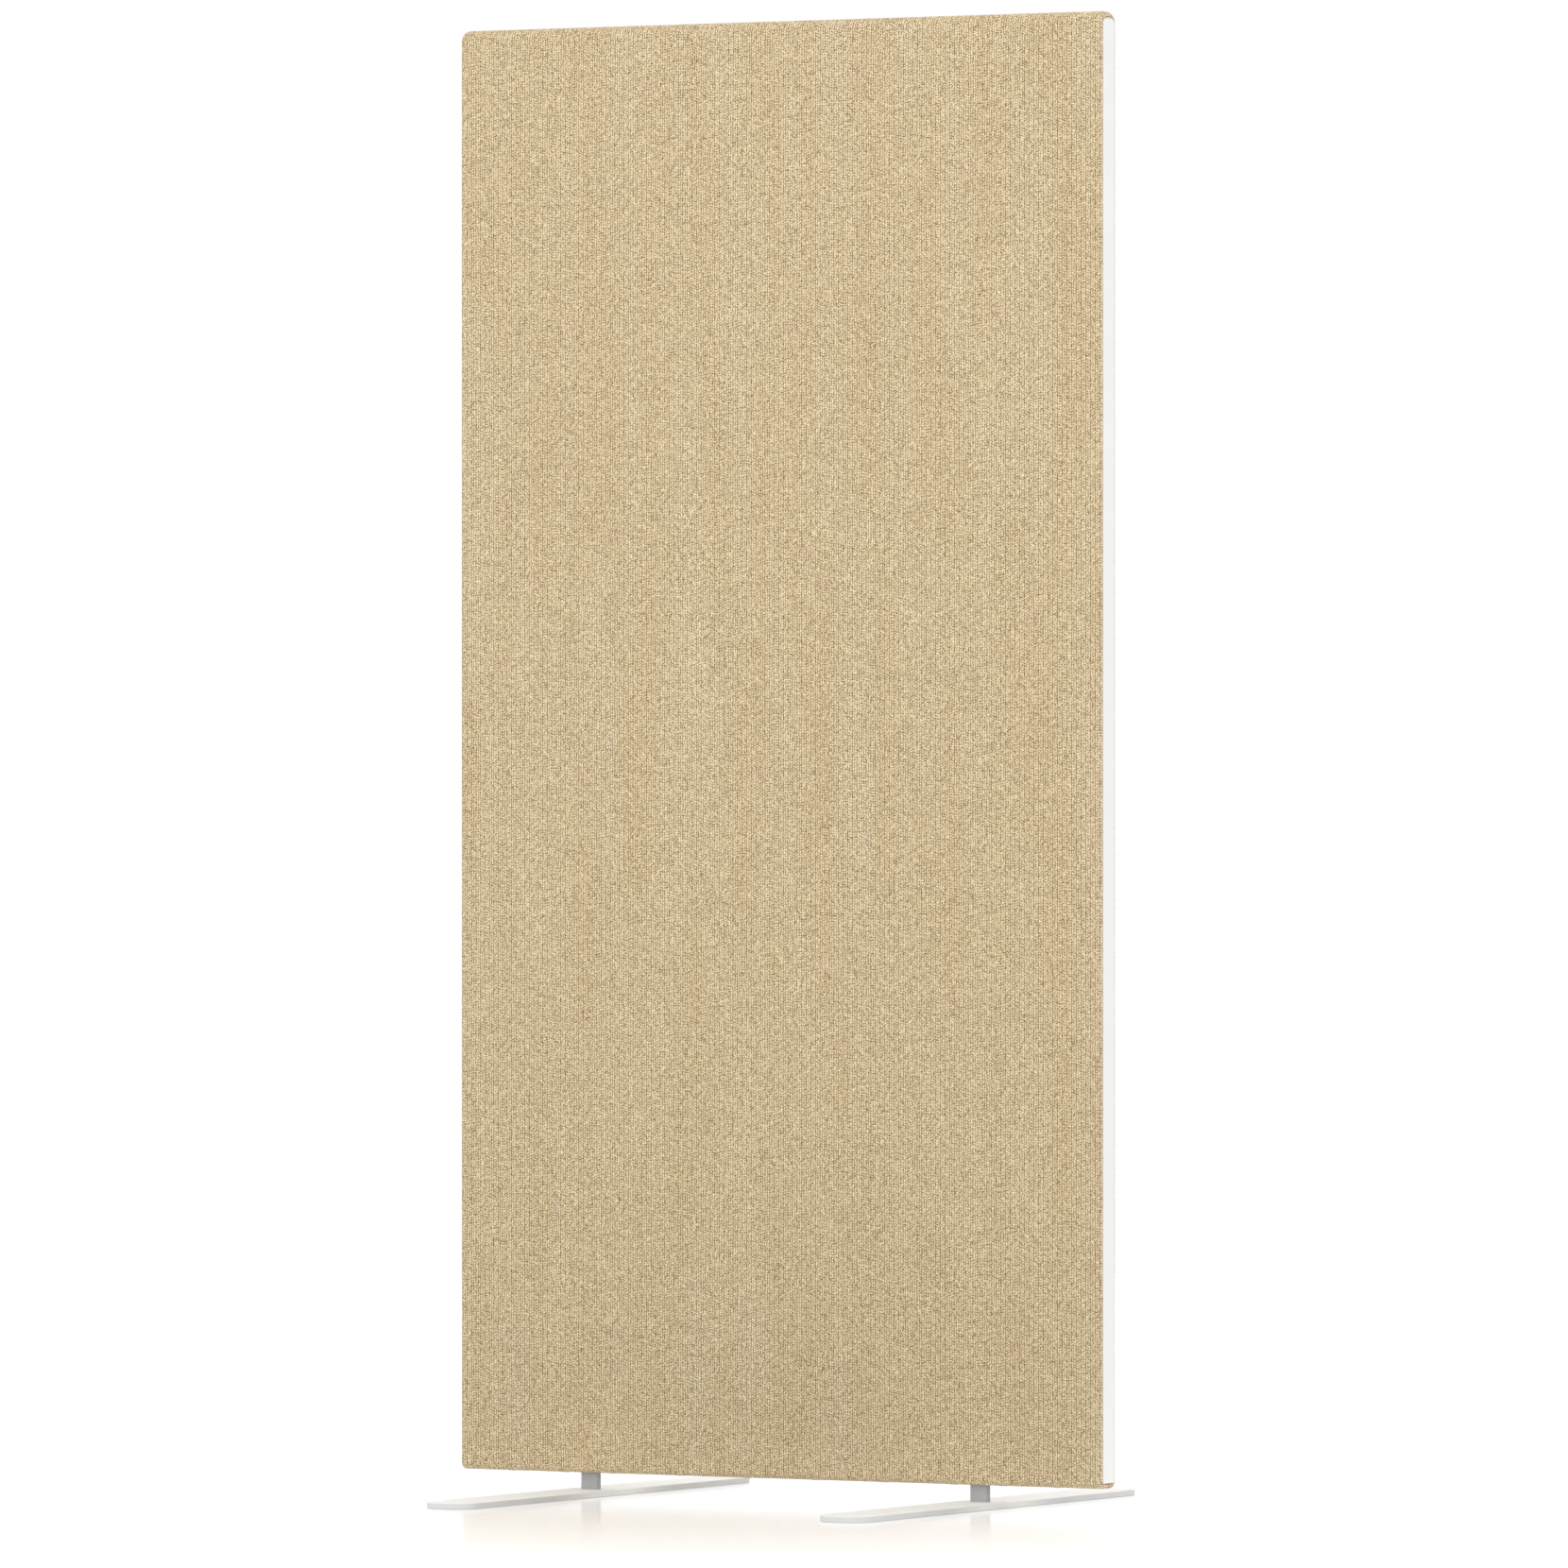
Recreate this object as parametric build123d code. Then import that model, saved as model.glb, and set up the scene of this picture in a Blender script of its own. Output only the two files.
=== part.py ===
from build123d import *
import os

# An upholstered floor screen: a timber frame with an acoustic core, wadding and a stretched
# fabric cover, closed at both sides by white edge strips and carried by two flat steel feet.
# Sizes are in millimetres. X runs across the screen, -Y is the front and Z is up.
# The origin is on the floor, under the middle of the panel.

# The whole screen
overall_width = 800
overall_height = 1600
ground_gap = 25

# Timber frame
timber_depth = 22
stile_width = 38
top_rail_height = 38
cross_rail_height = 38
bottom_rail_height = 70
cross_rail_count = 2
frame_top_round = 8
frame_bottom_round = 3
frame_top_corner = 4.5
frame_bottom_corner = 1.5

# Tenons at the ends of the rails
tenon_thickness = 8
tenon_length = 20
tenon_shoulder = 7
tenon_clearance = 0.1
tenon_spare = 1

# Acoustic core slabs
core_clearance = 0.3

# Wadding over both faces and the top
wadding_thickness = 3
wadding_side_clearance = 0.3
wadding_bottom_lift = 2

# Fabric cover
fabric_thickness = 1
cover_upright_round = 2.6
cover_top_round = 12
cover_bottom_round = 7
cover_top_corner = 8.5
cover_bottom_corner = 2.5
tuck_depth = 9
hem_gap = 2
hem_end_margin = 12
cover_post_clearance = 0.3

# Staples that hold the hems under the bottom rail
staple_crown = 10
staple_leg_length = 8
staple_wire_width = 1.2
staple_wire_height = 0.6
staple_row_offset = 4.5
staple_pitch = 80
staple_end_margin = 20

# Edge strips
flange_thickness = 1.2
flange_width = 25
flange_edge_round = 0.45
flange_top_round = 6.5
flange_bottom_round = 1.8
strip_top_inset = 7.9
strip_bottom_inset = 5.8
stem_thickness = 1.2
stem_root = 2
stem_tip = 0.8
barb_count = 3
barb_length = 2.4
barb_reach = 0.6
barb_clearance = 0.1
stem_end_setback = 12

# Groove in the outer edge of each stile
groove_depth = 12
groove_end_clearance = 1

# Feet, set in from the sides of the screen
foot_inset = 157
foot_length = 620
foot_width = 60
foot_thickness = 6
foot_corner_round = 24
foot_edge_chamfer = 0.5

# Posts between the feet and the panel
post_width = 20
post_thickness = 8
post_tongue = 60
post_tip_chamfer = 2
socket_clearance = 0.1
socket_spare = 2

# Pins across the bottom rail that lock the posts
pin_diameter = 5
pin_setback = 0.5
pin_spacing = 24
pin_clearance = 0.05

# Screws that fix the feet to the posts
screw_diameter = 5
screw_head_diameter = 10
screw_head_height = 2.5
screw_length = 18
screw_spacing = 10
screw_hole_clearance = 0.25
screw_hole_spare = 2
screw_thread_clearance = 0.05
screw_socket_width = 3
screw_socket_depth = 1.6

# Glide pads under the feet
pad_diameter = 20
pad_thickness = 1.5
pad_recess_depth = 1
pad_recess_clearance = 0.2
pad_end_distance = 30

# How far a cutting body runs past what it cuts
overrun = 5

# Worked out from the sizes above
panel_thickness = timber_depth + 2 * (wadding_thickness + fabric_thickness)
cover_width = overall_width - 2 * flange_thickness
cover_bottom = ground_gap
cover_top = overall_height
lining_width = cover_width - 2 * fabric_thickness
lining_depth = panel_thickness - 2 * fabric_thickness
frame_width = lining_width
frame_bottom = cover_bottom + fabric_thickness
frame_top = cover_top - fabric_thickness - wadding_thickness
frame_side = frame_width / 2
joint_side = frame_side - stile_width
top_rail_bottom = frame_top - top_rail_height
bottom_rail_top = frame_bottom + bottom_rail_height
bay_count = cross_rail_count + 1
bays_height = top_rail_bottom - bottom_rail_top - cross_rail_count * cross_rail_height
bay_height = bays_height / bay_count
stem_passage = stem_thickness + 2 * (barb_reach + barb_clearance)
groove_width = stem_passage + 2 * fabric_thickness
strip_top = cover_top - strip_top_inset
strip_bottom = cover_bottom + strip_bottom_inset
stem_top = strip_top - stem_end_setback
stem_bottom = strip_bottom + stem_end_setback
groove_top = stem_top + groove_end_clearance
groove_bottom = stem_bottom - groove_end_clearance
stem_depth = stem_root + barb_count * barb_length + stem_tip
pad_stand = pad_thickness - pad_recess_depth
foot_underside = pad_stand
foot_top = foot_underside + foot_thickness
post_top = frame_bottom + post_tongue
pin_length = timber_depth - 2 * pin_setback
foot_spacing = overall_width - 2 * foot_inset
sides = {"left": -1, "right": 1}


def block(x_low, x_high, y_low, y_high, z_low, z_high):
    """A block between two planes in each direction."""
    centre = Pos((x_low + x_high) / 2, (y_low + y_high) / 2, (z_low + z_high) / 2)
    return centre * Box(x_high - x_low, y_high - y_low, z_high - z_low)


def upright_face(plane, width, low, high, top_round, bottom_round):
    """A standing rectangle on a vertical plane, with one radius above and one below."""
    face = Rectangle(width, high - low)
    face = fillet(face.vertices().group_by(Axis.Y)[-1], top_round)
    face = fillet(face.vertices().group_by(Axis.Y)[0], bottom_round)
    return plane * (Pos(0, (low + high) / 2) * face)


def rounded_slab(width, depth, low, high, top_corner, bottom_corner, top_round, bottom_round):
    """A tall slab, rounded as seen from the front and as seen from the side."""
    front = upright_face(Plane.XZ, width, low, high, top_corner, bottom_corner)
    side = upright_face(Plane.YZ, depth, low, high, top_round, bottom_round)
    return extrude(front, amount=depth / 2, both=True) & extrude(side, amount=width / 2, both=True)


def soften_uprights(slab, width, depth, low, high, radius):
    """Round a slab's four upright edges, as seen from above."""
    plan = Pos(0, 0, low) * RectangleRounded(width, depth, radius)
    return slab & extrude(plan, amount=high - low)


def frame_envelope():
    """The whole block that the timber frame is cut from."""
    return rounded_slab(
        frame_width, timber_depth, frame_bottom, frame_top,
        frame_top_corner, frame_bottom_corner, frame_top_round, frame_bottom_round,
    )


def cross_rail_bottoms():
    """The height of the underside of each cross rail, from the lowest one up."""
    step = bay_height + cross_rail_height
    return [bottom_rail_top + bay_height + index * step for index in range(cross_rail_count)]


def rail_spans():
    """The lower and upper height of every rail, from the bottom rail up."""
    spans = [(frame_bottom, bottom_rail_top)]
    spans += [(low, low + cross_rail_height) for low in cross_rail_bottoms()]
    return spans + [(top_rail_bottom, frame_top)]


def tenon(side, low, high):
    """The stub at one end of a rail that enters the stile."""
    start = side * (joint_side - overrun)
    end = side * (joint_side + tenon_length)
    half = tenon_thickness / 2
    return block(
        min(start, end), max(start, end), -half, half, low + tenon_shoulder, high - tenon_shoulder,
    )


def mortise(side, low, high):
    """The slot in a stile that takes a rail's tenon, with a little room all round."""
    start = side * (joint_side - overrun)
    end = side * (joint_side + tenon_length + tenon_spare)
    half = tenon_thickness / 2 + tenon_clearance
    room = tenon_shoulder - tenon_clearance
    return block(min(start, end), max(start, end), -half, half, low + room, high - room)


def stile(side):
    """An upright of the frame, slotted inside for the rails and outside for the edge strip."""
    inner = side * joint_side
    outer = side * (frame_side + overrun)
    low = frame_bottom - overrun
    high = frame_top + overrun
    depth = timber_depth / 2 + overrun
    upright = frame_envelope() & block(min(inner, outer), max(inner, outer), -depth, depth, low, high)
    groove_floor = side * (frame_side - groove_depth)
    half_groove = groove_width / 2
    upright -= block(
        min(groove_floor, outer), max(groove_floor, outer), -half_groove, half_groove,
        groove_bottom, groove_top,
    )
    return upright - [mortise(side, rail_low, rail_high) for rail_low, rail_high in rail_spans()]


def rail(low, high):
    """A rail between the stiles, with a tenon at each end."""
    depth = timber_depth / 2 + overrun
    bar = frame_envelope() & block(-joint_side, joint_side, -depth, depth, low, high)
    return bar + [tenon(side, low, high) for side in sides.values()]


def staple_places():
    """The middle of each staple's crown, in two rows that leave the posts free."""
    post_side = foot_spacing / 2
    gap = post_width / 2 + staple_end_margin
    end = joint_side - staple_end_margin
    spans = [(-end, -post_side - gap), (gap - post_side, post_side - gap), (post_side + gap, end)]
    places = []
    for start, stop in spans:
        steps = max(1, round((stop - start) / staple_pitch))
        for index in range(steps + 1):
            x = start + (stop - start) * index / steps
            places += [(x, side * staple_row_offset) for side in sides.values()]
    return places


def staple_leg(side):
    """One straight leg of a staple, before the staple is moved to its place."""
    middle = side * (staple_crown - staple_wire_height) / 2
    half_height = staple_wire_height / 2
    half_width = staple_wire_width / 2
    return block(
        middle - half_height, middle + half_height, -half_width, half_width,
        cover_bottom, cover_bottom + staple_leg_length,
    )


def staple_slots():
    """What the legs of all the staples take out of the cover and the bottom rail."""
    return [Pos(x, y) * staple_leg(side) for x, y in staple_places() for side in sides.values()]


def cover_staples():
    """The staples, each a flat wire bent into a crown and two legs."""
    half_crown = staple_crown / 2
    half_width = staple_wire_width / 2
    crown = block(
        -half_crown, half_crown, -half_width, half_width, cover_bottom - staple_wire_height, cover_bottom,
    )
    staple = crown + [staple_leg(side) for side in sides.values()]
    return Compound([Pos(x, y) * staple for x, y in staple_places()])


def post_places():
    """The middle of each foot and post across the screen, named by its side."""
    return {name: side * foot_spacing / 2 for name, side in sides.items()}


def pin_heights():
    """The heights of the two pins that cross each post's tongue."""
    middle = frame_bottom + post_tongue / 2
    return [middle + side * pin_spacing / 2 for side in sides.values()]


def cross_pins(diameter, length):
    """Cylinders through the bottom rail and the posts, from front to back."""
    pin = Rot(90, 0, 0) * Cylinder(diameter / 2, length)
    return [Pos(x, 0, z) * pin for x in post_places().values() for z in pin_heights()]


def bottom_rail(low, high):
    """The deep rail along the bottom, with a socket and two pin holes for each post."""
    wood = rail(low, high)
    half_width = post_width / 2 + socket_clearance
    half_depth = post_thickness / 2 + socket_clearance
    for x in post_places().values():
        wood -= block(
            x - half_width, x + half_width, -half_depth, half_depth,
            low - overrun, post_top + socket_spare,
        )
    wood -= cross_pins(pin_diameter + 2 * pin_clearance, timber_depth + 2 * overrun)
    return wood - staple_slots()


def core_slab(index):
    """One acoustic slab, filling a bay of the frame with a small clearance all round."""
    low = bottom_rail_top + index * (bay_height + cross_rail_height)
    half_width = joint_side - core_clearance
    half_depth = timber_depth / 2
    return block(
        -half_width, half_width, -half_depth, half_depth,
        low + core_clearance, low + bay_height - core_clearance,
    )


def wadding():
    """The soft layer over the front, the top and the rear of the frame, in one sheet."""
    width = lining_width - 2 * wadding_side_clearance
    inset = fabric_thickness + wadding_side_clearance
    sheet = rounded_slab(
        width, lining_depth, frame_bottom, cover_top - fabric_thickness,
        cover_top_corner - inset, cover_bottom_corner - inset,
        cover_top_round - fabric_thickness, cover_bottom_round - fabric_thickness,
    )
    sheet = soften_uprights(
        sheet, width, lining_depth, frame_bottom, cover_top, cover_upright_round - inset,
    )
    wide = width / 2 + overrun
    deep = lining_depth / 2 + overrun
    lowest = frame_bottom - overrun
    below = block(-wide, wide, -deep, deep, lowest, frame_bottom + wadding_bottom_lift)
    return sheet - frame_envelope() - below


def cover_shell():
    """The closed skin of the cover, one fabric thick."""
    outside = rounded_slab(
        cover_width, panel_thickness, cover_bottom, cover_top,
        cover_top_corner, cover_bottom_corner, cover_top_round, cover_bottom_round,
    )
    outside = soften_uprights(
        outside, cover_width, panel_thickness, cover_bottom, cover_top, cover_upright_round,
    )
    inside = rounded_slab(
        lining_width, lining_depth, frame_bottom, cover_top - fabric_thickness,
        cover_top_corner - fabric_thickness, cover_bottom_corner - fabric_thickness,
        cover_top_round - fabric_thickness, cover_bottom_round - fabric_thickness,
    )
    inside = soften_uprights(
        inside, lining_width, lining_depth, frame_bottom, cover_top,
        cover_upright_round - fabric_thickness,
    )
    return outside - inside


def fabric_cover():
    """The cover, tucked into the stiles' grooves at the sides and open between its hems."""
    cloth = cover_shell()
    half_slit = stem_passage / 2
    for side in sides.values():
        deepest = side * (frame_side - tuck_depth)
        skin = side * (frame_side + fabric_thickness / 2)
        outer = side * (cover_width / 2 + overrun)
        for face in sides.values():
            wall = face * half_slit
            leaf = face * (half_slit + fabric_thickness)
            cloth += block(
                min(deepest, skin), max(deepest, skin), min(wall, leaf), max(wall, leaf),
                groove_bottom, groove_top,
            )
        cloth -= block(
            min(deepest, outer), max(deepest, outer), -half_slit, half_slit,
            groove_bottom, groove_top,
        )
    hem_end = cover_width / 2 - hem_end_margin
    under = cover_bottom - overrun
    cloth -= block(-hem_end, hem_end, -hem_gap / 2, hem_gap / 2, under, frame_bottom)
    half_width = post_width / 2 + cover_post_clearance
    half_depth = post_thickness / 2 + cover_post_clearance
    for x in post_places().values():
        cloth -= block(x - half_width, x + half_width, -half_depth, half_depth, under, frame_bottom)
    return cloth - staple_slots()


def barbed_stem(side):
    """The strip's stem, with rows of barbs that grip the cover inside the groove."""
    root = cover_width / 2
    half = stem_thickness / 2
    edge = [(root + flange_thickness / 2, half), (root - stem_root, half)]
    for index in range(barb_count):
        start = root - stem_root - index * barb_length
        edge += [(start, half + barb_reach), (start - barb_length, half)]
    edge += [(root - stem_depth, half)]
    outline = edge + [(x, -y) for x, y in reversed(edge)]
    outline = [(side * x, y) for x, y in outline]
    section = Pos(0, 0, stem_bottom) * make_face(Polyline(*outline, close=True))
    return extrude(section, amount=stem_top - stem_bottom, dir=(0, 0, 1))


def edge_strip(side):
    """A strip with a T section: a thin flange over the cover and a stem in the groove."""
    outline = upright_face(
        Plane.YZ, flange_width, strip_bottom, strip_top, flange_top_round, flange_bottom_round,
    )
    flange = Pos(cover_width / 2, 0, 0) * extrude(outline, amount=flange_thickness)
    flange = fillet(flange.faces().sort_by(Axis.X)[-1].edges(), flange_edge_round)
    if side < 0:
        flange = mirror(flange, about=Plane.YZ)
    return flange + barbed_stem(side)


def post(x):
    """A flat post that stands on its foot and runs up into the bottom rail as a tongue."""
    height = post_top - foot_top
    bar = Pos(x, 0, foot_top + height / 2) * Box(post_width, post_thickness, height)
    corners = bar.faces().sort_by(Axis.Z)[-1].edges().filter_by(Axis.Y)
    bar = chamfer(corners, post_tip_chamfer)
    bar -= cross_pins(pin_diameter + 2 * pin_clearance, timber_depth)
    hole_radius = screw_diameter / 2 + screw_thread_clearance
    hole_depth = screw_length - foot_thickness + screw_hole_spare
    for screw_x in screw_places(x):
        bar -= Pos(screw_x, 0, foot_top + hole_depth / 2) * Cylinder(hole_radius, hole_depth)
    return bar


def screw_places(x):
    """Where the two screws of one foot stand."""
    return [x + side * screw_spacing / 2 for side in sides.values()]


def foot_screw(x):
    """A countersunk screw with a hexagon socket, standing head down."""
    head = Cone(screw_head_diameter / 2, screw_diameter / 2, screw_head_height)
    shank_length = screw_length - screw_head_height
    shank = Cylinder(screw_diameter / 2, shank_length)
    screw = Pos(0, 0, screw_head_height / 2) * head
    screw += Pos(0, 0, screw_head_height + shank_length / 2) * shank
    socket = RegularPolygon(screw_socket_width / 2, 6, major_radius=False)
    screw -= extrude(socket, amount=screw_socket_depth)
    return Pos(x, 0, foot_underside) * screw


def foot_screws():
    """The four screws that hold the feet under their posts."""
    return Compound([foot_screw(x) for post_x in post_places().values() for x in screw_places(post_x)])


def pad_places(x):
    """Where the glide pads of one foot lie."""
    return [(x, side * (foot_length / 2 - pad_end_distance)) for side in sides.values()]


def foot_bar(x):
    """A flat foot with rounded corners, drilled for its screws and recessed for its pads."""
    outline = RectangleRounded(foot_width, foot_length, foot_corner_round)
    bar = extrude(Pos(x, 0, foot_underside) * outline, amount=foot_thickness)
    bar = chamfer(bar.faces().sort_by(Axis.Z)[-1].edges(), foot_edge_chamfer)
    sink_radius = screw_head_diameter / 2 + screw_hole_clearance
    hole_radius = screw_diameter / 2 + screw_hole_clearance
    sink = Cone(sink_radius, hole_radius, screw_head_height)
    hole = Cylinder(hole_radius, foot_thickness + 2 * overrun)
    for screw_x in screw_places(x):
        bar -= Pos(screw_x, 0, foot_underside + screw_head_height / 2) * sink
        bar -= Pos(screw_x, 0, foot_underside + foot_thickness / 2) * hole
    recess = Cylinder(pad_diameter / 2 + pad_recess_clearance, pad_recess_depth)
    for pad_x, pad_y in pad_places(x):
        bar -= Pos(pad_x, pad_y, foot_underside + pad_recess_depth / 2) * recess
    return bar


def glide_pads(x):
    """The two round pads that one foot rests on."""
    pad = Cylinder(pad_diameter / 2, pad_thickness)
    return Compound([Pos(pad_x, pad_y, pad_thickness / 2) * pad for pad_x, pad_y in pad_places(x)])


def all_pieces():
    """Every piece of the screen under its own name."""
    rails = rail_spans()
    pieces = {
        "bottom_rail": bottom_rail(*rails[0]),
        "top_rail": rail(*rails[-1]),
        "wadding": wadding(),
        "fabric_cover": fabric_cover(),
        "cover_staples": cover_staples(),
        "post_pins": Compound(cross_pins(pin_diameter, pin_length)),
        "foot_screws": foot_screws(),
    }
    for name, side in sides.items():
        pieces["stile_" + name] = stile(side)
        pieces["edge_strip_" + name] = edge_strip(side)
    for name, x in post_places().items():
        pieces["post_" + name] = post(x)
        pieces["foot_bar_" + name] = foot_bar(x)
        pieces["glide_pads_" + name] = glide_pads(x)
    for index, (low, high) in enumerate(rails[1:-1]):
        pieces["cross_rail_" + str(index + 1)] = rail(low, high)
    for index in range(bay_count):
        pieces["core_slab_" + str(index + 1)] = core_slab(index)
    return pieces


os.makedirs("parts", exist_ok=True)
for piece_name, piece in all_pieces().items():
    export_step(piece, "parts/" + piece_name + ".step")
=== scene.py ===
import math
from itertools import accumulate

import bmesh
import bpy
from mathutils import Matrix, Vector
from mathutils.kdtree import KDTree


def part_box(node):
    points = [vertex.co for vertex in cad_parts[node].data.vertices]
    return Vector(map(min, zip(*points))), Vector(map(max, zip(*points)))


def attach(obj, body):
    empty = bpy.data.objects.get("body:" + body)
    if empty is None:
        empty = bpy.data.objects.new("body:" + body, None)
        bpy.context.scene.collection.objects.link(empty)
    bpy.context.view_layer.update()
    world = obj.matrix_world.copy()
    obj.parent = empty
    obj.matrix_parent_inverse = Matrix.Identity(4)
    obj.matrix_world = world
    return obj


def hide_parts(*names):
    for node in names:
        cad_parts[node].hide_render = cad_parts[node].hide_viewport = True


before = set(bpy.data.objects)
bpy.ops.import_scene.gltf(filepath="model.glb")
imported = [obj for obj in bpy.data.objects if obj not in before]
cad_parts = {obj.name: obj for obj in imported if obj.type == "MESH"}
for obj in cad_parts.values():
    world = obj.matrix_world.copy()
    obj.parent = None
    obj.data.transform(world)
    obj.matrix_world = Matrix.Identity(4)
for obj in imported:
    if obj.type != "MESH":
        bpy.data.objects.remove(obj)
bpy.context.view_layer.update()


# The timber frame: two stiles and four rails of planed softwood, slotted and tenoned together.
# Only the wadding and the felt slabs touch the wood, so it stays as the planer left it.
mm = 0.001
along_grain = 0.06


def linear(shade):
    """The linear colour, with alpha, of an sRGB hex value."""
    colour = []
    for start in (1, 3, 5):
        part = int(shade[start:start + 2], 16) / 255
        colour.append(part / 12.92 if part <= 0.04045 else ((part + 0.055) / 1.055) ** 2.4)
    return colour + [1]


def add(tree, kind, inputs=(), stops=(), **settings):
    """Adds one node with its settings and links. A node given as a value is linked by its first
    output. The stops of a colour ramp are pairs of place and sRGB hex value."""
    node = tree.nodes.new("ShaderNode" + kind)
    for name, value in settings.items():
        setattr(node, name, value)
    for socket, value in dict(inputs).items():
        if isinstance(value, bpy.types.Node):
            value = value.outputs[0]
        if isinstance(value, bpy.types.NodeSocket):
            tree.links.new(value, node.inputs[socket])
        else:
            node.inputs[socket].default_value = value
    for index, (place, shade) in enumerate(stops):
        elements = node.color_ramp.elements
        stop = elements[index] if index < len(elements) else elements.new(1)
        stop.position = place
        stop.color = linear(shade)
    return node


def new_finish(name):
    """An empty node material and its tree."""
    finish = bpy.data.materials.new(name)
    finish.use_nodes = True
    finish.node_tree.nodes.clear()
    return finish, finish.node_tree


def coat(finish, *nodes):
    """Gives CAD nodes a finish."""
    for name in nodes:
        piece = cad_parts[name]
        piece.data.materials.clear()
        piece.data.materials.append(finish)


def planed_pine(name, grain_scale):
    """Planed pine: pale straw early wood, with darker lines of late wood 3 mm apart."""
    finish, tree = new_finish(name)
    place = add(tree, "TexCoord").outputs["Object"]
    grain = add(tree, "Mapping", {"Vector": place, "Scale": grain_scale})
    drift = add(tree, "TexNoise", {"Vector": grain, "Scale": 1 / (25 * mm), "Detail": 3})
    # A wave texture of scale 1 repeats every tau / 20 metres.
    wave_scale = math.tau / 20 / (3 * mm)
    rings = add(
        tree, "TexWave", {"Vector": grain, "Scale": wave_scale, "Distortion": 5, "Detail": 2},
        wave_type="BANDS", bands_direction="Y", wave_profile="SAW",
    ).outputs["Fac"]
    lines = add(tree, "Math", {0: rings, 1: drift}, operation="MULTIPLY")
    tone = add(tree, "ValToRGB", {0: lines}, [
        (0.0, "#E3C99B"), (0.45, "#D8B983"), (0.8, "#BC9159"),
    ])
    relief = add(tree, "Bump", {"Height": lines, "Strength": 0.15, "Distance": 0.2 * mm})
    wood = add(tree, "BsdfPrincipled", {
        "Base Color": tone, "Roughness": 0.62, "IOR": 1.5, "Normal": relief,
    })
    add(tree, "OutputMaterial", {"Surface": wood})
    return finish


coat(planed_pine("planed_pine_upright", (1, 1, along_grain)), "stile_left", "stile_right")
coat(
    planed_pine("planed_pine_lying", (along_grain, 1, 1)),
    "top_rail", "bottom_rail", "cross_rail_1", "cross_rail_2",
)


# The acoustic slabs: needled polyester felt, sawn to size and pressed into the bays of the frame.
# The saw leaves their edges a little soft.
felt_edge = 1.5 * mm


def needled_felt():
    """Needled felt: a grey mat of fibres, in lighter and darker tufts about 2 mm across."""
    finish, tree = new_finish("needled_polyester_felt")
    place = add(tree, "TexCoord").outputs["Object"]
    tufts = add(tree, "TexNoise", {
        "Vector": place, "Scale": 1 / (2 * mm), "Detail": 4, "Roughness": 0.7,
    })
    tone = add(tree, "ValToRGB", {0: tufts}, [(0.3, "#8E9093"), (0.5, "#A9ABAD"), (0.7, "#C4C5C6")])
    relief = add(tree, "Bump", {"Height": tufts, "Strength": 0.5, "Distance": 0.5 * mm})
    felt = add(tree, "BsdfPrincipled", {
        "Base Color": tone, "Roughness": 0.95, "IOR": 1.45, "Sheen Weight": 0.2, "Normal": relief,
    })
    add(tree, "OutputMaterial", {"Surface": felt})
    return finish


def into_mesh(name, shape, finish):
    """Makes a mesh of a bmesh and gives it its finish."""
    mesh = bpy.data.meshes.new(name)
    shape.to_mesh(mesh)
    shape.free()
    mesh.materials.append(finish)
    return mesh


def into_scene(name, data):
    """Makes an object of a mesh, a lamp or a lens and puts it in the scene."""
    thing = bpy.data.objects.new(name, data)
    bpy.context.scene.collection.objects.link(thing)
    return thing


def new_piece(name, shape, finish, node):
    """Makes a piece of a bmesh, gives it its finish, and lets it stand for a CAD node."""
    piece = into_scene(name, into_mesh(name, shape, finish))
    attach(piece, "root")
    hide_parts(node)
    return piece


felt_finish = needled_felt()
for node in ("core_slab_1", "core_slab_2", "core_slab_3"):
    low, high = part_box(node)
    sawn = bmesh.new()
    bmesh.ops.create_cube(sawn, size=1)
    bmesh.ops.scale(sawn, vec=high - low, verts=sawn.verts)
    bmesh.ops.translate(sawn, vec=(high + low) / 2, verts=sawn.verts)
    bmesh.ops.bevel(
        sawn, geom=sawn.edges[:], offset=felt_edge, segments=3, profile=0.5, affect="EDGES",
        material=-1,
    )
    slab = new_piece("felt_" + node, sawn, felt_finish, node)


# The wadding: one sheet of white polyester fibre, glued over the front, the top and the rear of the
# frame and cut narrower under the cover's corners. It makes the panel soft to the touch and rounds
# its top edge.
wadding_half_depth = 14 * mm
wadding_half_width = 397.5 * mm
wadding_thickness = 3 * mm
wadding_low = 30 * mm
wadding_high = 1599 * mm
wadding_top_round = 11 * mm
corner_cut = 7.5 * mm
glued_side = 9 * mm
glued_low = 6 * mm
cloth_step = 12 * mm
quarter_turn = math.pi / 2


def spaced(start, stop, step):
    """Places from start up to, and without, stop, evenly spaced by about a step."""
    count = max(1, round(abs(stop - start) / step))
    return [start + (stop - start) * index / count for index in range(count)]


def edge_rows(centre_y, centre_z, radius, turns):
    """Rows round an edge of the panel, at turns from straight down to straight up."""
    rows = []
    for turn in turns:
        out_y, out_z = -math.cos(turn), math.sin(turn)
        rows.append(((centre_y + radius * out_y, centre_z + radius * out_z), (out_y, out_z)))
    return rows


def mirrored(rows):
    """The same rows on the rear of the panel, in the order in which the sheet reaches them."""
    return [((-y, z), (-out_y, out_z)) for (y, z), (out_y, out_z) in reversed(rows)]


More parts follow.
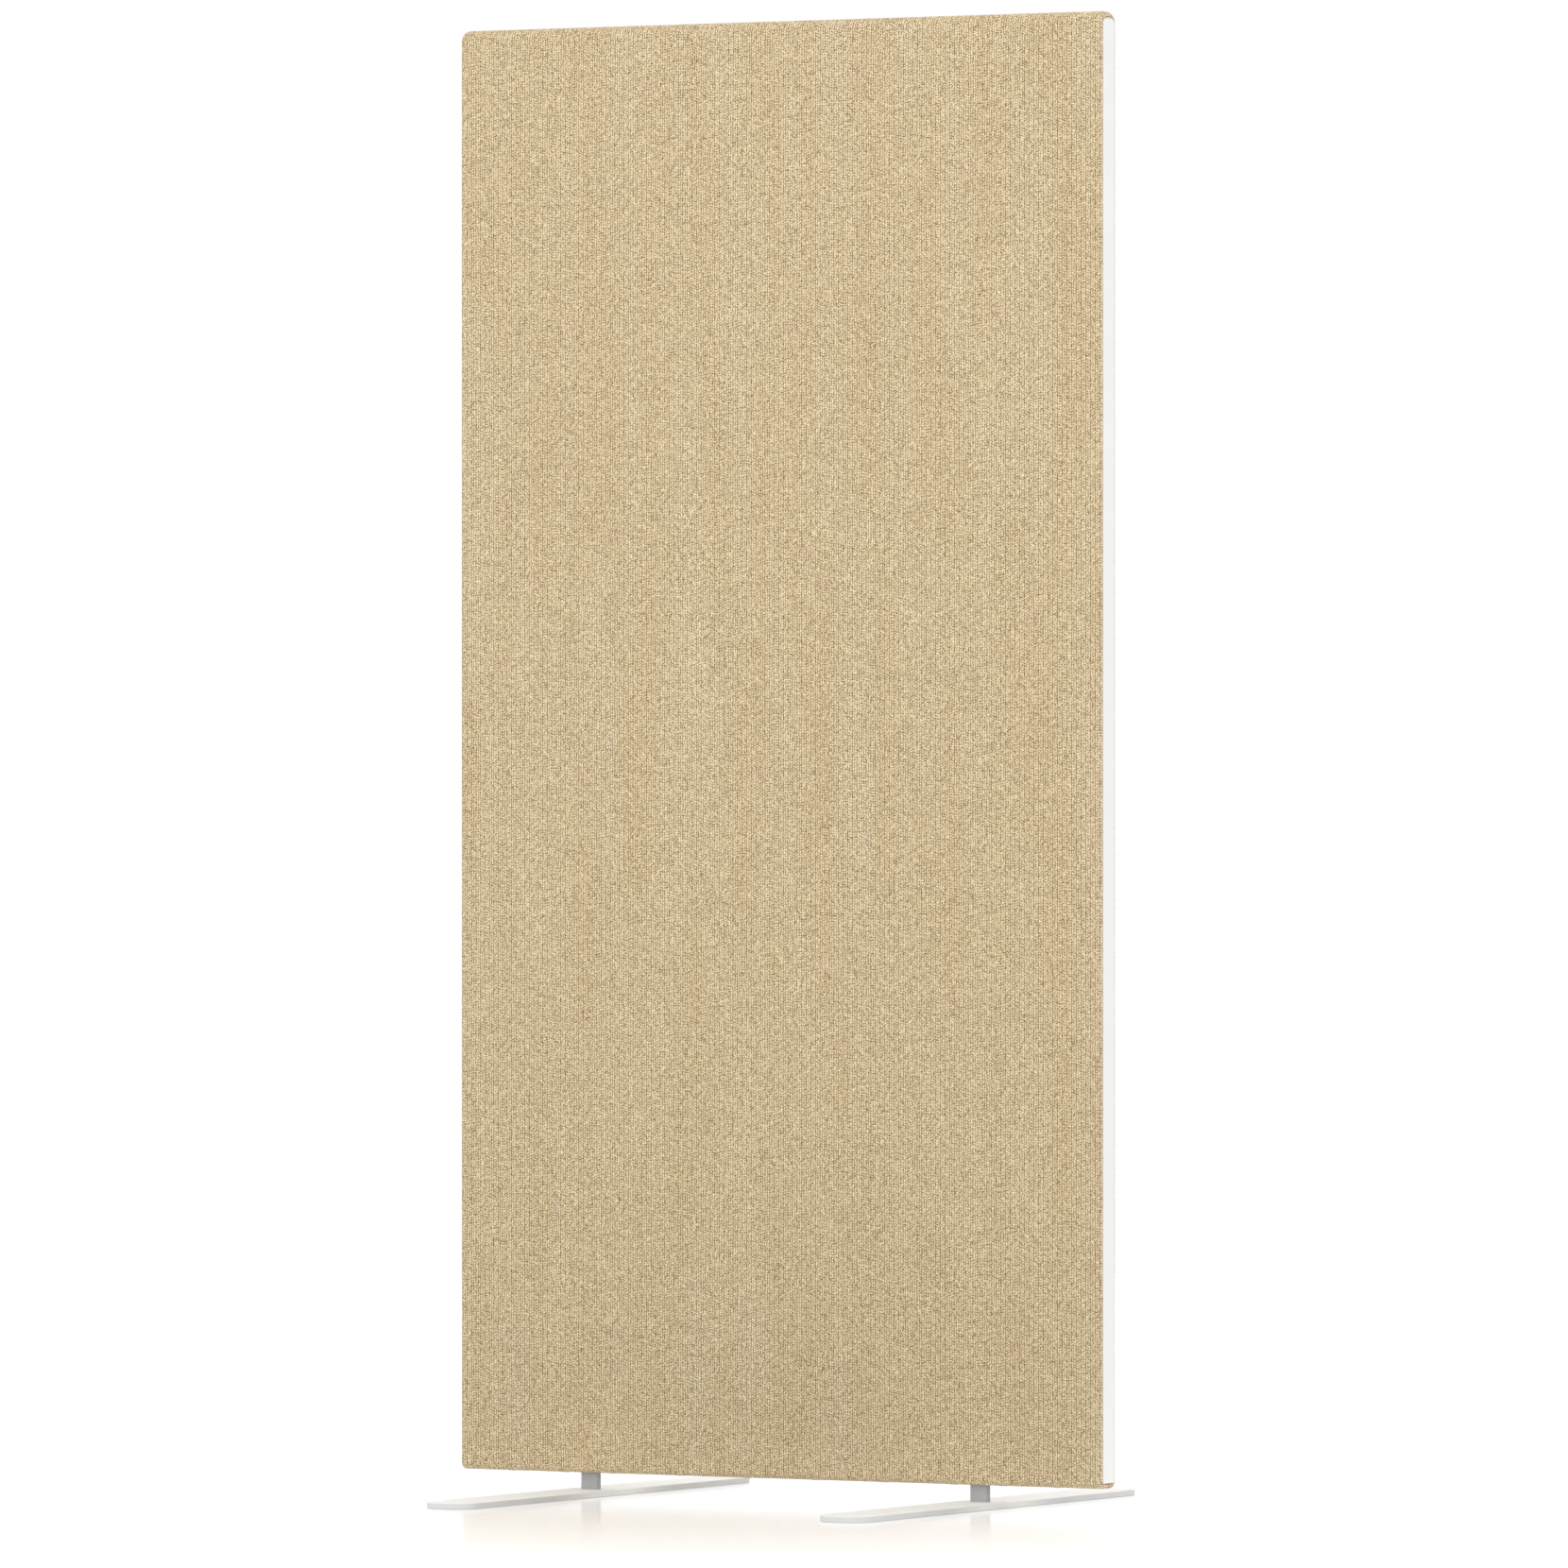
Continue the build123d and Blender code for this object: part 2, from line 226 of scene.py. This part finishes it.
def outline_rows(half_depth, low, high, top_round):
    """The rows of a sheet that goes up the front, over the top and down the rear of the panel.
    Each is a place (y, z) and the direction (y, z) that faces out of the panel there. They lie
    closer near both ends of the front, where the sheet is about to turn."""
    top_centre = high - top_round
    ends = 3 * cloth_step
    heights = spaced(low, low + ends, cloth_step / 4)
    heights += spaced(low + ends, top_centre - ends, cloth_step)
    heights += spaced(top_centre - ends, top_centre, cloth_step / 4)
    rows = [((-half_depth, height), (-1, 0)) for height in heights]
    turns = spaced(0, quarter_turn, quarter_turn / 10) + [quarter_turn]
    rows += edge_rows(top_round - half_depth, top_centre, top_round, turns)
    return rows + [((0, high), (0, 1))] + mirrored(rows)


def lay_cloth(rows, stations):
    """A flat grid of cloth, laid over the rows. stations(row) gives the places across a row as
    (x, how far inwards from the outline), as many for each row. The flat sheet's own measures are
    kept as its UV map."""
    places = []
    along = 0
    for index, row in enumerate(rows):
        (y, z), (out_y, out_z) = row
        if index:
            (last_y, last_z), _ = rows[index - 1]
            along += math.hypot(y - last_y, z - last_z)
        line = [Vector((x, y - out_y * inward, z - out_z * inward)) for x, inward in stations(row)]
        gaps = [(place - last).length for last, place in zip(line, line[1:])]
        widths = accumulate(gaps, initial=-sum(gaps[:len(line) // 2]))
        places.append([(place, (width, along)) for place, width in zip(line, widths)])
    last_column, last_row = len(places[0]) - 1, len(places) - 1
    cloth = bmesh.new()
    bmesh.ops.create_grid(cloth, x_segments=last_column, y_segments=last_row, size=0.5)
    flat = {}
    for vert in cloth.verts:
        column = round((vert.co.x + 0.5) * last_column)
        row = round((vert.co.y + 0.5) * last_row)
        vert.co, flat[vert.index] = places[row][column]
    measures = cloth.loops.layers.uv.new("cloth")
    for face in cloth.faces:
        for corner in face.loops:
            corner[measures].uv = flat[corner.vert.index]
    return cloth


def fibre_wadding():
    """Polyester wadding: a white, loose mat, with tufts about 3 mm across."""
    finish, tree = new_finish("polyester_fibre_wadding")
    place = add(tree, "TexCoord").outputs["Object"]
    tufts = add(tree, "TexNoise", {
        "Vector": place, "Scale": 1 / (3 * mm), "Detail": 5, "Roughness": 0.65,
    })
    tone = add(tree, "ValToRGB", {0: tufts}, [(0.3, "#DADAD6"), (0.6, "#F1F1EE")])
    relief = add(tree, "Bump", {"Height": tufts, "Strength": 0.6, "Distance": 0.8 * mm})
    fibres = add(tree, "BsdfPrincipled", {
        "Base Color": tone, "Roughness": 0.95, "IOR": 1.45, "Sheen Weight": 0.3, "Normal": relief,
    })
    add(tree, "OutputMaterial", {"Surface": fibres})
    return finish


def wadding_stations(row):
    """The places across one row of the wadding, which is narrower over the top."""
    _, (_, out_z) = row
    narrower = 1 - corner_cut * max(out_z, 0) ** 2 / wadding_half_width
    places = spaced(-wadding_half_width, wadding_half_width, cloth_step) + [wadding_half_width]
    return [(x * narrower, 0) for x in places]


def swell(sheet, held, pressure, most, frames=20):
    """Lets a sheet swell in a short cloth simulation, with its held vertices pinned, and applies
    the result to the mesh. No vertex moves further than the most. Gives each start and move."""
    sheet.vertex_groups.new(name="held").add(held, 1, "REPLACE")
    cloth = sheet.modifiers.new("swell", "CLOTH")
    cloth.settings.vertex_group_mass = "held"
    cloth.settings.use_pressure = True
    cloth.settings.uniform_pressure_force = pressure
    cloth.settings.effector_weights.gravity = 0
    for moment in range(1, frames + 1):
        bpy.context.scene.frame_set(moment)
    swollen = sheet.evaluated_get(bpy.context.evaluated_depsgraph_get()).data
    starts = [vert.co.copy() for vert in sheet.data.vertices]
    moves = [after.co - start for after, start in zip(swollen.vertices, starts)]
    sheet.modifiers.remove(cloth)
    sheet.vertex_groups.clear()
    bpy.context.scene.frame_set(1)
    next_to_none = 0.001 * mm
    moves = [move * min(1, most / max(move.length, next_to_none)) for move in moves]
    for vert, move in zip(sheet.data.vertices, moves):
        vert.co += move
    return list(zip(starts, moves))


rows = outline_rows(wadding_half_depth, wadding_low, wadding_high, wadding_top_round)
mat = lay_cloth(rows, wadding_stations)
wadding = new_piece("wadding_sheet", mat, fibre_wadding(), "wadding")
swelling = []
glued = [
    vert.index for vert in wadding.data.vertices
    if abs(vert.co.x) > wadding_half_width - glued_side
    or not wadding_low + glued_low < vert.co.z < wadding_high - wadding_top_round
]
swelling = swell(wadding, glued, pressure=0.05, most=1 * mm)
wadding.data.shade_smooth()
loft = wadding.modifiers.new("thickness", "SOLIDIFY")
loft.thickness = wadding_thickness
loft.offset = -1


# The cover: a polyester rib knit, cut as one sheet 0.84 m wide and 3.2 m long and stretched over
# the front, the top and the rear. Its sides are tucked into the stiles' grooves, and its hems are
# stapled underneath, with a notch for each post.
cover_half_depth = 15 * mm
cover_low = 25 * mm
cover_high = 1600 * mm
cover_bottom_round = 7 * mm
cover_top_round = 12 * mm
cover_thickness = 1 * mm
half_hem_gap = 1 * mm
post_places = (-243 * mm, 243 * mm)
notch_half_width = 10.3 * mm
notch_half_depth = 4.3 * mm
middle_end = 384 * mm

# The rounding along its sides, as (width, depth), and what is added to it over the top and the
# bottom.
edge_round = (3 * mm, 1.6 * mm)
top_adds = (3.4 * mm, 3.6 * mm)
bottom_adds = (0.3 * mm, 0.9 * mm)

# The flange of each edge strip is pressed into the padded side, so that the cover stands up round
# it as a lip. The lip ends and bends at (how far in from its crest, how far outside the flange).
half_flange = 12.5 * mm
flange_low = 30.8 * mm
flange_high = 1592.1 * mm
flange_top_round = 6.5 * mm
flange_bottom_round = 1.8 * mm
crest = 399.6 * mm
least_crest = 0.3 * mm
crest_end = (0.05 * mm, 1.1 * mm)
crest_bend = (0.35 * mm, 0.4 * mm)
flange_gap = 0.1 * mm
flange_overlap = 0.6 * mm
pressed = 398.78 * mm

# How deep the tuck lies inwards from the sides, the top and the bottom, and where it ends.
side_reach = 13.7 * mm
top_reach = 11.9 * mm
bottom_reach = 6.9 * mm
tuck_end = 389.8 * mm
groove_low = 41.8 * mm
groove_high = 1581.1 * mm


def rib_knit():
    """Rib knit: upright ribs 2.9 mm apart, every second one higher, of V-shaped stitches 2.9 mm
    long. The strands in the two legs of each stitch differ in shade, the beige melange yarn is
    flecked about every millimetre, and broad bands pass over the cloth."""
    finish, tree = new_finish("polyester_rib_knit")

    # The cloth in ribs across and stitches along, swaying a little, each rib with its own start.
    rib_pitch, stitch_length, sway, leg_slope = 2.86 * mm, 2.87 * mm, 1 * mm, -0.9
    sheet = add(tree, "UVMap", uv_map="cloth")
    drift = add(tree, "TexNoise", {
        "Vector": sheet, "Scale": 1 / (40 * mm), "Detail": 2,
    }).outputs["Color"]
    swayed = add(
        tree, "VectorMath", {0: drift, 1: (sway, sway, 0), 2: sheet}, operation="MULTIPLY_ADD",
    )
    per_stitch = (1 / rib_pitch, 1 / stitch_length, 0)
    cells = add(tree, "VectorMath", {0: swayed, 1: per_stitch}, operation="MULTIPLY")
    across, along, _ = add(tree, "SeparateXYZ", {0: cells}).outputs
    rib = add(tree, "Math", {0: across}, operation="FLOOR")
    start = add(tree, "TexWhiteNoise", {"W": rib}, noise_dimensions="1D")
    started = add(tree, "Math", {0: along, 1: start}, operation="ADD")
    lean = add(tree, "Math", {0: across, 1: 0.5}, operation="PINGPONG")
    run = add(tree, "Math", {0: lean, 1: leg_slope, 2: started}, operation="MULTIPLY_ADD")

    # The relief: a round back over each rib, over each of its two legs and over each stitch.
    rounds = []
    for place, turns in ((across, 1), (across, 2), (run, 1)):
        angle = add(tree, "Math", {0: place, 1: turns * math.pi}, operation="MULTIPLY")
        swing = add(tree, "Math", {0: angle}, operation="SINE")
        rounds.append(add(tree, "Math", {0: swing}, operation="ABSOLUTE"))
    rib_round, leg_round, stitch_round = rounds
    legs = add(tree, "Math", {0: leg_round, 1: 0.5, 2: 0.5}, operation="MULTIPLY_ADD")
    ribs = add(tree, "Math", {0: rib_round, 1: legs}, operation="MULTIPLY")
    stitches = add(tree, "Math", {0: stitch_round, 1: 0.8, 2: 0.3}, operation="MULTIPLY_ADD")
    knitted = add(tree, "Math", {0: ribs, 1: stitches}, operation="MULTIPLY")
    half_turn = add(tree, "Math", {0: across, 1: math.pi}, operation="MULTIPLY")
    every_second = add(tree, "Math", {0: half_turn}, operation="COSINE")
    height = add(tree, "Math", {0: every_second, 1: 0.05, 2: knitted}, operation="MULTIPLY_ADD")

    # The yarn's own fibres are too fine to show, so its strands are drawn about 0.7 mm wide and
    # 1 mm long, four across a rib and three along a stitch, and its flecks 0.8 by 0.6 mm.
    strand_contrast, fleck_contrast, yarn_level = 0.98, 0.6, -0.695
    strands = add(tree, "CombineXYZ", {0: across, 1: run})
    parts = add(tree, "VectorMath", {0: strands, 1: (4, 3, 0)}, operation="MULTIPLY")
    number = add(tree, "VectorMath", {0: parts}, operation="FLOOR")
    chance = add(tree, "TexWhiteNoise", {"Vector": number}, noise_dimensions="2D")
    per_fleck = (1 / (0.8 * mm), 1 / (0.6 * mm), 0)
    stretched = add(tree, "Mapping", {"Vector": swayed, "Scale": per_fleck})
    flecks = add(tree, "TexNoise", {"Vector": stretched, "Scale": 1, "Detail": 1})
    melange = add(
        tree, "Math", {0: chance, 1: strand_contrast, 2: yarn_level}, operation="MULTIPLY_ADD",
    )
    flecked = add(
        tree, "Math", {0: flecks, 1: fleck_contrast, 2: melange}, operation="MULTIPLY_ADD",
    )

    # Painted shade and light: faces turned up, over the top edge, are painted darker, and faces
    # turned down, under the lower edge, are painted lighter, by how far the normal points up.
    painted_tilt_shade, painted_relief_shade = -0.11, 0.92
    facing = add(tree, "SeparateXYZ", {0: add(tree, "NewGeometry").outputs["Normal"]}).outputs["Z"]
    tilt_shaded = add(tree, "Math", {0: facing, 1: painted_tilt_shade, 2: flecked}, operation="MULTIPLY_ADD")
    # Painted shade in the hollows between the ribs and the stitches, and painted light on their
    # crests: the relief's height also darkens and lightens the tone.
    shown = add(tree, "Math", {0: height, 1: painted_relief_shade, 2: tilt_shaded}, operation="MULTIPLY_ADD")
    tone = add(tree, "ValToRGB", {0: shown}, [(0, "#6A542E"), (0.5, "#C8B18A"), (1, "#FFEFCE")])

    # The bands, where the dye took a little more or less, are 45 mm wide and 500 mm long.
    per_band = (1 / (45 * mm), 1 / (500 * mm), 1)
    banded = add(tree, "Mapping", {"Vector": sheet, "Scale": per_band})
    bands = add(tree, "TexNoise", {"Vector": banded, "Scale": 1, "Detail": 2})
    dyed = add(tree, "ValToRGB", {0: bands}, [(0.3, "#F9F6EF"), (0.7, "#FFFFFF")])
    shade = add(
        tree, "Mix", {0: 1, 6: tone, 7: dyed}, data_type="RGBA", blend_type="MULTIPLY",
    ).outputs[2]
    relief = add(tree, "Bump", {"Height": height, "Strength": 0.4, "Distance": 0.5 * mm})
    knit = add(tree, "BsdfPrincipled", {
        "Base Color": shade, "Roughness": 0.9, "IOR": 1.45, "Sheen Weight": 0.1, "Normal": relief,
    })
    add(tree, "OutputMaterial", {"Surface": knit})
    return finish


def beyond_flange(y, z):
    """How far a place on the panel's side lies outside the flange; negative under it."""
    middle = (flange_low + flange_high) / 2
    radius = flange_top_round if z > middle else flange_bottom_round
    across = abs(y) - half_flange + radius
    up = abs(z - middle) - (flange_high - flange_low) / 2 + radius
    return math.hypot(max(across, 0), max(up, 0)) + min(max(across, up), 0) - radius


def flange_inset(row, most):
    """How far inwards from the outline the flange begins on a row, felt for in small steps."""
    (y, z), (out_y, out_z) = row
    small_step = 0.05 * mm
    inset = 0
    while beyond_flange(y - out_y * inset, z - out_z * inset) > 0 and inset < most:
        inset += small_step
    return inset


def cover_rows():
    """The wadding's kind of rows, with a round lower edge and a hem turned under on both faces."""
    low = cover_low + cover_bottom_round
    under = cover_half_depth - cover_bottom_round
    hem_places = (half_hem_gap, notch_half_depth, (notch_half_depth + under) / 2)
    hem = [((-y, cover_low), (0, -1)) for y in hem_places]
    turns = spaced(-quarter_turn, 0, quarter_turn / 6)
    hem += edge_rows(-under, low, cover_bottom_round, turns)
    return hem + outline_rows(cover_half_depth, low, cover_high, cover_top_round) + mirrored(hem)


def flap(row):
    """The stations of one side of a row: round the edge to the crest of the lip, down to the
    flange, under it, and into the groove."""
    _, (_, out_z) = row
    above, below = max(out_z, 0) ** 2, max(-out_z, 0) ** 2
    edge_width = edge_round[0] + above * top_adds[0] + below * bottom_adds[0]
    edge_depth = edge_round[1] + above * top_adds[1] + below * bottom_adds[1]
    reach = side_reach
    if out_z > 0:
        reach = top_reach
    if out_z < 0:
        reach = bottom_reach
    inset = flange_inset(row, reach - cover_thickness)
    stations = []
    for turn in spaced(0, quarter_turn, quarter_turn / 5) + [quarter_turn]:
        in_from_crest = edge_width * (1 - math.sin(turn))
        stations.append((crest - in_from_crest, edge_depth * (1 - math.cos(turn))))
    crest_depth = max(inset - crest_end[1], edge_depth + least_crest)
    under = inset + flange_overlap
    return stations + [
        (crest, (edge_depth + crest_depth) / 2), (crest - crest_end[0], crest_depth),
        (crest - crest_bend[0], inset - crest_bend[1]), (pressed, inset - flange_gap),
        (pressed, under), (pressed, under + (reach - under) / 3), (pressed, reach),
        (pressed - cover_thickness, reach), (tuck_end, reach),
    ]


notch_sides = [place + side * notch_half_width for place in post_places for side in (-1, 1)]
breaks = [-middle_end, *notch_sides, middle_end]
middle_stations = []
for start, stop in zip(breaks, breaks[1:]):
    middle_stations += spaced(start, stop, cloth_step)
middle_stations.append(middle_end)


def cover_stations(row):
    """The places across one row of the cover, with a flap at each end."""
    side = flap(row)
    left = [(-x, inward) for x, inward in reversed(side)]
    return left + [(x, 0) for x in middle_stations] + side


knitwear = lay_cloth(cover_rows(), cover_stations)

# The cover lies on the swollen wadding: each of its vertices moves with the four nearest ones of
# the wadding, and most with the nearest.
blend_distance = 1 * mm
padding = KDTree(len(swelling))
for number, (start, _) in enumerate(swelling):
    padding.insert(start, number)
padding.balance()
for vert in knitwear.verts:
    nearest = padding.find_n(vert.co, 4)
    near = [(number, 1 / (distance + blend_distance)) for _, number, distance in nearest]
    total = sum(weight for _, weight in near)
    for number, weight in near:
        vert.co += swelling[number][1] * weight / total

# Cloth is cut away from the tucks above and below the grooves, and from the hems at the posts.
tuck_from, tuck_to = 385 * mm, pressed - 0.2 * mm
tuck_half_depth = 9 * mm
tuck_low, tuck_high = cover_low + 6 * mm, cover_high - 11 * mm
hem_high = cover_low + 0.1 * mm
cut_away = []
for face in knitwear.faces:
    centre = face.calc_center_median()
    aside, deep = abs(centre.x), abs(centre.y)
    in_tuck = tuck_from < aside < tuck_to and deep < tuck_half_depth
    in_tuck = in_tuck and tuck_low < centre.z < tuck_high
    by_post = min(abs(centre.x - place) for place in post_places) < notch_half_width
    in_notch = by_post and deep < notch_half_depth and centre.z < hem_high
    if in_notch or in_tuck and not groove_low < centre.z < groove_high:
        cut_away.append(face)
bmesh.ops.delete(knitwear, geom=cut_away, context="FACES")
cover = new_piece("rib_knit_cover", knitwear, rib_knit(), "fabric_cover")
cover.data.shade_smooth()
fabric = cover.modifiers.new("thickness", "SOLIDIFY")
fabric.thickness = cover_thickness
fabric.offset = -1


# The staples: zinc plated steel wire, shot through the hems into the bottom rail.
# The pins across the posts and the feet's screws are plated the same way.
def zinc_plate():
    """Bright zinc plate: a cool, slightly cloudy metal, its crystals about 2 mm across."""
    finish, tree = new_finish("bright_zinc_plated_steel")
    place = add(tree, "TexCoord").outputs["Object"]
    cloud = add(tree, "TexNoise", {"Vector": place, "Scale": 1 / (2 * mm), "Detail": 2})
    tone = add(tree, "ValToRGB", {0: cloud}, [(0.35, "#B9BBBE"), (0.65, "#D3D5D8")])
    dull = add(tree, "MapRange", {"Value": cloud, "To Min": 0.28, "To Max": 0.42})
    plate = add(tree, "BsdfPrincipled", {"Base Color": tone, "Metallic": 1, "Roughness": dull})
    add(tree, "OutputMaterial", {"Surface": plate})
    return finish


coat(zinc_plate(), "cover_staples", "post_pins", "foot_screws")


# The edge strips: white rigid plastic, extruded with a thin flange and a barbed stem.
# The die leaves a satin face with very faint lines along the strip.
def extruded_plastic():
    """Extruded white plastic: even and satin, with die lines about 1 mm apart along its length."""
    finish, tree = new_finish("extruded_white_plastic")
    place = add(tree, "TexCoord").outputs["Object"]
    drawn = add(tree, "Mapping", {"Vector": place, "Scale": (1, 1, 0.01)})
    lines = add(tree, "TexNoise", {"Vector": drawn, "Scale": 1 / (1 * mm), "Detail": 2})
    cloud = add(tree, "TexNoise", {"Vector": place, "Scale": 1 / (80 * mm), "Detail": 2})
    tone = add(tree, "ValToRGB", {0: cloud}, [(0.3, "#EBEBEA"), (0.7, "#EEEEED")])
    gloss = add(tree, "MapRange", {"Value": lines, "To Min": 0.34, "To Max": 0.44})
    relief = add(tree, "Bump", {"Height": lines, "Strength": 0.1, "Distance": 0.05 * mm})
    plastic = add(tree, "BsdfPrincipled", {
        "Base Color": tone, "Roughness": gloss, "IOR": 1.5, "Normal": relief,
    })
    add(tree, "OutputMaterial", {"Surface": plastic})
    return finish


coat(extruded_plastic(), "edge_strip_left", "edge_strip_right")


# The posts and the feet: flat steel bar, powder coated, the posts in silver grey and the feet in
# white. The powder melts to a satin skin with a fine orange peel.
def powder_coat(name, dark, light):
    """Powder coat: a satin skin whose orange peel is about 0.7 mm across."""
    finish, tree = new_finish(name)
    place = add(tree, "TexCoord").outputs["Object"]
    peel = add(tree, "TexNoise", {"Vector": place, "Scale": 1 / (0.7 * mm), "Detail": 1})
    cloud = add(tree, "TexNoise", {"Vector": place, "Scale": 1 / (30 * mm), "Detail": 3})
    tone = add(tree, "ValToRGB", {0: cloud}, [(0.3, dark), (0.7, light)])
    gloss = add(tree, "MapRange", {"Value": cloud, "To Min": 0.55, "To Max": 0.63})
    relief = add(tree, "Bump", {"Height": peel, "Strength": 0.2, "Distance": 0.05 * mm})
    paint = add(tree, "BsdfPrincipled", {
        "Base Color": tone, "Roughness": gloss, "IOR": 1.5, "Specular IOR Level": 0.3,
        "Normal": relief,
    })
    add(tree, "OutputMaterial", {"Surface": paint})
    return finish


coat(powder_coat("silver_grey_powder_coat", "#A8A8A9", "#AEAEAF"), "post_left", "post_right")
coat(powder_coat("white_powder_coat", "#E8E8E7", "#ECECEB"), "foot_bar_left", "foot_bar_right")


# The glide pads: discs of moulded black rubber, glued into recesses under the feet.
# They stand out by half a millimetre, so that no steel touches the floor.
def moulded_rubber():
    """Moulded rubber: nearly black and matt, with a fine grain of about 0.5 mm."""
    finish, tree = new_finish("moulded_black_rubber")
    place = add(tree, "TexCoord").outputs["Object"]
    grain = add(tree, "TexNoise", {"Vector": place, "Scale": 1 / (0.5 * mm), "Detail": 2})
    tone = add(tree, "ValToRGB", {0: grain}, [(0.3, "#1B1B1C"), (0.7, "#262627")])
    relief = add(tree, "Bump", {"Height": grain, "Strength": 0.3, "Distance": 0.1 * mm})
    rubber = add(tree, "BsdfPrincipled", {
        "Base Color": tone, "Roughness": 0.8, "IOR": 1.52, "Normal": relief,
    })
    add(tree, "OutputMaterial", {"Surface": rubber})
    return finish


coat(moulded_rubber(), "glide_pads_left", "glide_pads_right")


# The studio floor: a smooth white sheet, which mirrors the feet and the panel faintly, and less so
# further off. Camera and mirror rays see it with a glow that lifts it to the white of the backdrop.
def studio_white(tree):
    """1 for a ray from the camera, a mirror or a glass, and 0 for one that carries light."""
    ray = add(tree, "LightPath").outputs
    direct, mirrored_ray = ray["Is Camera Ray"], ray["Is Glossy Ray"]
    seen = add(tree, "Math", {0: direct, 1: mirrored_ray}, operation="MAXIMUM")
    return add(tree, "Math", {0: seen, 1: ray["Is Transmission Ray"]}, operation="MAXIMUM")


def white_floor():
    """White floor sheet: matt and pale, with a soft sheen where it is seen at a slant."""
    finish, tree = new_finish("white_studio_floor")
    spot = add(tree, "TexCoord").outputs["Object"]
    sizes = add(tree, "VectorMath", {0: spot}, operation="ABSOLUTE")
    sides = add(tree, "SeparateXYZ", {0: sizes}).outputs

    # Painted shade and light in what the floor throws up: for light rays it is made darker just
    # before and behind the panel, where the panel shades it, and paler in the strip right under the
    # panel, which lifts the posts and the feet.
    aside = add(tree, "MapRange", {"Value": sides[0], "From Min": 0.4, "From Max": 0.5})
    ahead = add(tree, "MapRange", {"Value": sides[1], "From Min": 0.12, "From Max": 0.5})
    under = add(tree, "MapRange", {
        "Value": sides[1], "From Min": 0.12, "From Max": 0.04, "To Max": 1.4,
    })
    open_floor = add(tree, "Math", {0: aside, 1: ahead}, operation="MAXIMUM")
    painted_bounce_mask = add(tree, "Math", {0: open_floor, 1: under}, operation="MAXIMUM")
    painted_bounce = add(tree, "MapRange", {
        "Value": painted_bounce_mask, "From Max": 1.4, "To Min": 0.1, "To Max": 0.75,
    })
    paleness_with_painted_bounce = add(tree, "MapRange", {"Value": studio_white(tree), "To Min": painted_bounce, "To Max": 0.3})
    matt = add(tree, "BsdfDiffuse", {"Color": paleness_with_painted_bounce})

    # The glow and the sheen grow with the slant, and the sheen fades 0.25 to 1.5 m from the middle.
    slant = add(tree, "LayerWeight", {"Blend": 0.5}).outputs["Facing"]
    steep = add(tree, "Math", {0: slant, 1: 4}, operation="POWER")
    level = add(tree, "Math", {0: steep, 1: 0.24, 2: 0.69}, operation="MULTIPLY_ADD")
    lifted = add(tree, "Math", {0: studio_white(tree), 1: level}, operation="MULTIPLY")
    glow = add(tree, "Emission", {"Strength": lifted})
    sheen = add(tree, "BsdfGlossy", {"Color": (1, 1, 1, 1), "Roughness": 0.16})
    away = add(tree, "VectorMath", {0: spot}, operation="LENGTH").outputs["Value"]
    polish = add(tree, "MapRange", {
        "Value": away, "From Min": 0.25, "From Max": 1.5, "To Min": 0.72, "To Max": 0.1,
    })
    mirror = add(tree, "Math", {0: steep, 1: polish}, operation="MULTIPLY")
    lit = add(tree, "AddShader", {0: matt, 1: glow})
    surface = add(tree, "MixShader", {0: mirror, 1: lit, 2: sheen})
    add(tree, "OutputMaterial", {"Surface": surface})
    return finish


floor_finish = white_floor()
disc = bmesh.new()
bmesh.ops.create_circle(disc, cap_ends=True, radius=6, segments=96)
floor = into_scene("studio_floor", into_mesh("studio_floor", disc, floor_finish))


# The studio light: a white surround, stronger from above, from the front and from high up behind,
# and one large soft box level with the panel's plane, which lights its white side and the feet's
# sides, both before and behind the panel.
def aimed(thing, place, target):
    """Stands a lamp or a camera at a place and turns it to a target."""
    thing.location = place
    thing.rotation_euler = (Vector(target) - thing.location).to_track_quat("-Z", "Y").to_euler()


world = bpy.data.worlds.new("studio")
world.use_nodes = True
tree = world.node_tree
tree.nodes.clear()
toward = add(tree, "SeparateXYZ", {0: add(tree, "TexCoord").outputs["Generated"]}).outputs
above = add(tree, "Math", {0: toward["Z"], 1: 0}, operation="MAXIMUM")
before = add(tree, "Math", {0: toward["Y"], 1: 0}, operation="MINIMUM")
behind = add(tree, "Math", {0: toward["Y"], 1: 0}, operation="MAXIMUM")
ceiling = add(tree, "Math", {0: above, 1: above}, operation="MULTIPLY")
screen = add(tree, "Math", {0: before, 1: before}, operation="MULTIPLY")
skylight = add(tree, "Math", {0: behind, 1: above}, operation="MULTIPLY")
surround = 0.69
light = surround
for source, strength in ((ceiling, 0.76), (screen, 0.95), (skylight, 1.6)):
    light = add(tree, "Math", {0: source, 1: strength, 2: light}, operation="MULTIPLY_ADD")
share = add(tree, "MapRange", {"Value": studio_white(tree), "To Min": light, "To Max": 1.0})
sky = add(tree, "Background", {"Color": (1, 1, 1, 1), "Strength": share})
add(tree, "OutputWorld", {"Surface": sky})
bpy.context.scene.world = world

soft_box = bpy.data.lights.new("soft_box_right", "AREA")
soft_box.shape = "RECTANGLE"
soft_box.size, soft_box.size_y = 3, 3
soft_box.energy = 23
aimed(into_scene("soft_box_right", soft_box), place=(5.6, 0, 2.4), target=(0, 0, 0.8))


# The camera stands where the photograph was taken from: far off to the front right, at half height,
# with a long lens, so the panel's edges hardly converge.
lens = bpy.data.cameras.new("camera")
lens.lens = 302.3
lens.sensor_width = 36
lens.clip_end = 100
camera = into_scene("camera", lens)
aimed(camera, place=(7.123, -12.323, 0.8144), target=(0, 0, 0.7757))
bpy.context.scene.camera = camera
bpy.context.scene.view_settings.view_transform = "Standard"
